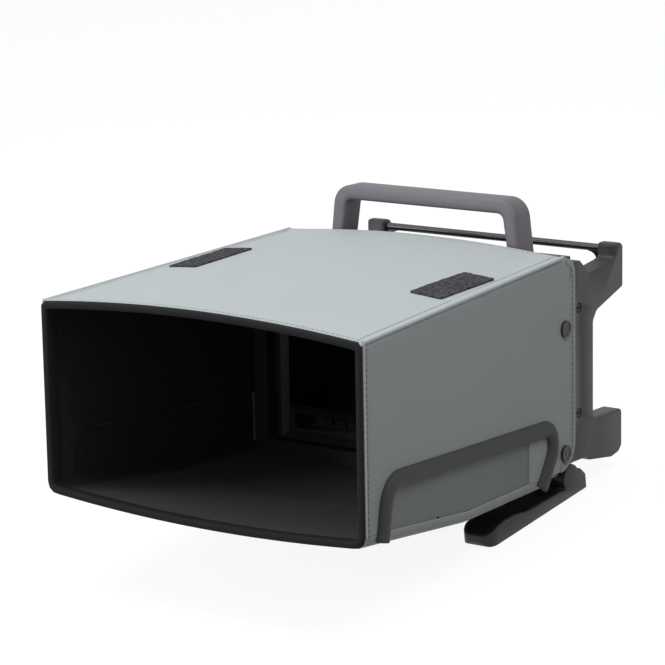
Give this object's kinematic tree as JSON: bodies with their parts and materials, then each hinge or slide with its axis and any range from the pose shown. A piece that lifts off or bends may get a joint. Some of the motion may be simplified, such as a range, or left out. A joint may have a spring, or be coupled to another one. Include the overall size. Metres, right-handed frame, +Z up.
{
  "type": "field monitor with sun hood",
  "caption": "Portable flat-panel field monitor with a flared fabric sun hood, top carrying handle, rear connector guard and two tilt feet.",
  "frame": {"origin": "middle of the bounding box at the table's level, under the object's rest pose", "axes": "+X to the viewer's right as they look in at the picture, -Y out of the hood's mouth towards the viewer, +Z up"},
  "size_m": [0.2728, 0.373, 0.2174],
  "materials": {
    "housing": "fine spark texture, satin",
    "guard": "hard charcoal paint",
    "handle": "soft-touch moulding",
    "black_bar": "satin black",
    "screw": "black oxide",
    "rubber": "matt",
    "window": "smoked, anti-glare",
    "panel": "polarised film",
    "diffuser": "white reflector box",
    "sheet": "zinc plated",
    "board": "solder mask",
    "sink": "milled",
    "speaker": "frame and cone",
    "lamp": "clear green",
    "plate": "satin",
    "jack": "nickel",
    "socket": "moulded",
    "brass": "turned",
    "button": "satin",
    "knob": "fluted",
    "foot": "glass-filled moulding",
    "pin": "ground",
    "top_cloth": "coated cloth over stiff board",
    "side_cloth": "coated cloth over stiff board",
    "felt": "black flock",
    "collar": "stiff moulded frame",
    "trim": "dark woven piping",
    "binding": "folded cloth tape",
    "stud": "press stud with a rubbery cap",
    "hook": "hook-and-loop pile"
  },
  "bodies": {
    "monitor": {"front_housing": "housing", "rear_housing": "housing", "display_window": "window", "lcd_panel": "panel", "backlight_unit": "diffuser", "panel_chassis": "sheet", "main_board": "board", "power_board": "board", "control_board": "board", "heat_sink": "sink", "loudspeaker": "speaker", "status_lamp": "lamp", "connector_plate": "plate", "video_jacks": "jack", "power_socket": "socket", "remote_socket": "sheet", "housing_screws": "screw", "tripod_bush": "brass", "carry_handle": "handle", "handle_screws": "screw", "guard_frame_left": "guard", "guard_frame_right": "guard", "upper_guard_bar": "black_bar", "lower_guard_bar": "black_bar", "guard_screws": "screw", "bumper_pads": "rubber"},
    "hood": {"hood_top": "top_cloth", "hood_floor": "side_cloth", "hood_side_left": "side_cloth", "hood_side_right": "side_cloth", "hood_lining": "felt", "hood_collar": "collar", "mouth_binding": "binding", "opening_piping_left": "trim", "opening_piping_right": "trim", "hood_studs": "stud", "hook_patches": "hook"},
    "foot_left": {"foot_left": "foot", "hinge_pin_left": "pin", "foot_pads_left": "rubber", "foot_tread_left": "rubber"},
    "access_flap_left": {"access_flap_left": "side_cloth"},
    "foot_right": {"foot_right": "foot", "hinge_pin_right": "pin", "foot_pads_right": "rubber", "foot_tread_right": "rubber"},
    "access_flap_right": {"access_flap_right": "side_cloth"},
    "power_button": {"power_button": "button"},
    "input_button_1": {"input_button_1": "button"},
    "input_button_2": {"input_button_2": "button"},
    "input_button_3": {"input_button_3": "button"},
    "input_button_4": {"input_button_4": "button"},
    "menu_button_up": {"menu_button_up": "button"},
    "menu_button_down": {"menu_button_down": "button"},
    "menu_button_enter": {"menu_button_enter": "button"},
    "brightness_knob": {"brightness_knob": "knob"},
    "contrast_knob": {"contrast_knob": "knob"},
    "chroma_knob": {"chroma_knob": "knob"},
    "volume_knob": {"volume_knob": "knob"}
  },
  "joints": [
    {"name": "hood_slide", "type": "slide", "parent": "monitor", "child": "hood", "axis": [0, -0.9914, 0.1305], "range_m": [0, 0.06]},
    {"name": "access_flap_left_hinge", "type": "hinge", "parent": "hood", "child": "access_flap_left", "pos_m": [-0.12077, 0.01904, 0.03915], "axis": [0.0541, 0.98, -0.1914], "range_deg": [0, 75]},
    {"name": "access_flap_right_hinge", "type": "hinge", "parent": "hood", "child": "access_flap_right", "pos_m": [0.12077, 0.01904, 0.03915], "axis": [0.0541, -0.98, 0.1914], "range_deg": [0, 75]},
    {"name": "foot_left_hinge", "type": "hinge", "parent": "monitor", "child": "foot_left", "pos_m": [-0.097, 0.09447, 0.0145], "axis": [1, 0, 0], "range_deg": [-6, 12]},
    {"name": "foot_right_hinge", "type": "hinge", "parent": "monitor", "child": "foot_right", "pos_m": [0.097, 0.09447, 0.0145], "axis": [1, 0, 0], "range_deg": [-6, 12]},
    {"name": "power_button_press", "type": "slide", "parent": "monitor", "child": "power_button", "axis": [0, 0.9914, -0.1305], "range_m": [0, 0.0015], "stiffness_N_per_m": 500, "springref_m": -0.0005},
    {"name": "input_button_1_press", "type": "slide", "parent": "monitor", "child": "input_button_1", "axis": [0, 0.9914, -0.1305], "range_m": [0, 0.0015], "stiffness_N_per_m": 500, "springref_m": -0.0005},
    {"name": "input_button_2_press", "type": "slide", "parent": "monitor", "child": "input_button_2", "axis": [0, 0.9914, -0.1305], "range_m": [0, 0.0015], "stiffness_N_per_m": 500, "springref_m": -0.0005},
    {"name": "input_button_3_press", "type": "slide", "parent": "monitor", "child": "input_button_3", "axis": [0, 0.9914, -0.1305], "range_m": [0, 0.0015], "stiffness_N_per_m": 500, "springref_m": -0.0005},
    {"name": "input_button_4_press", "type": "slide", "parent": "monitor", "child": "input_button_4", "axis": [0, 0.9914, -0.1305], "range_m": [0, 0.0015], "stiffness_N_per_m": 500, "springref_m": -0.0005},
    {"name": "menu_button_up_press", "type": "slide", "parent": "monitor", "child": "menu_button_up", "axis": [0, 0.9914, -0.1305], "range_m": [0, 0.0015], "stiffness_N_per_m": 500, "springref_m": -0.0005},
    {"name": "menu_button_down_press", "type": "slide", "parent": "monitor", "child": "menu_button_down", "axis": [0, 0.9914, -0.1305], "range_m": [0, 0.0015], "stiffness_N_per_m": 500, "springref_m": -0.0005},
    {"name": "menu_button_enter_press", "type": "slide", "parent": "monitor", "child": "menu_button_enter", "axis": [0, 0.9914, -0.1305], "range_m": [0, 0.0015], "stiffness_N_per_m": 500, "springref_m": -0.0005},
    {"name": "brightness_knob_turn", "type": "hinge", "parent": "monitor", "child": "brightness_knob", "pos_m": [0.034, 0.03951, 0.0529], "axis": [0, 0.9914, -0.1305], "range_deg": [-140, 140]},
    {"name": "contrast_knob_turn", "type": "hinge", "parent": "monitor", "child": "contrast_knob", "pos_m": [0.048, 0.03951, 0.0529], "axis": [0, 0.9914, -0.1305], "range_deg": [-140, 140]},
    {"name": "chroma_knob_turn", "type": "hinge", "parent": "monitor", "child": "chroma_knob", "pos_m": [0.062, 0.03951, 0.0529], "axis": [0, 0.9914, -0.1305], "range_deg": [-140, 140]},
    {"name": "volume_knob_turn", "type": "hinge", "parent": "monitor", "child": "volume_knob", "pos_m": [0.076, 0.03951, 0.0529], "axis": [0, 0.9914, -0.1305], "range_deg": [-140, 140]}
  ]
}
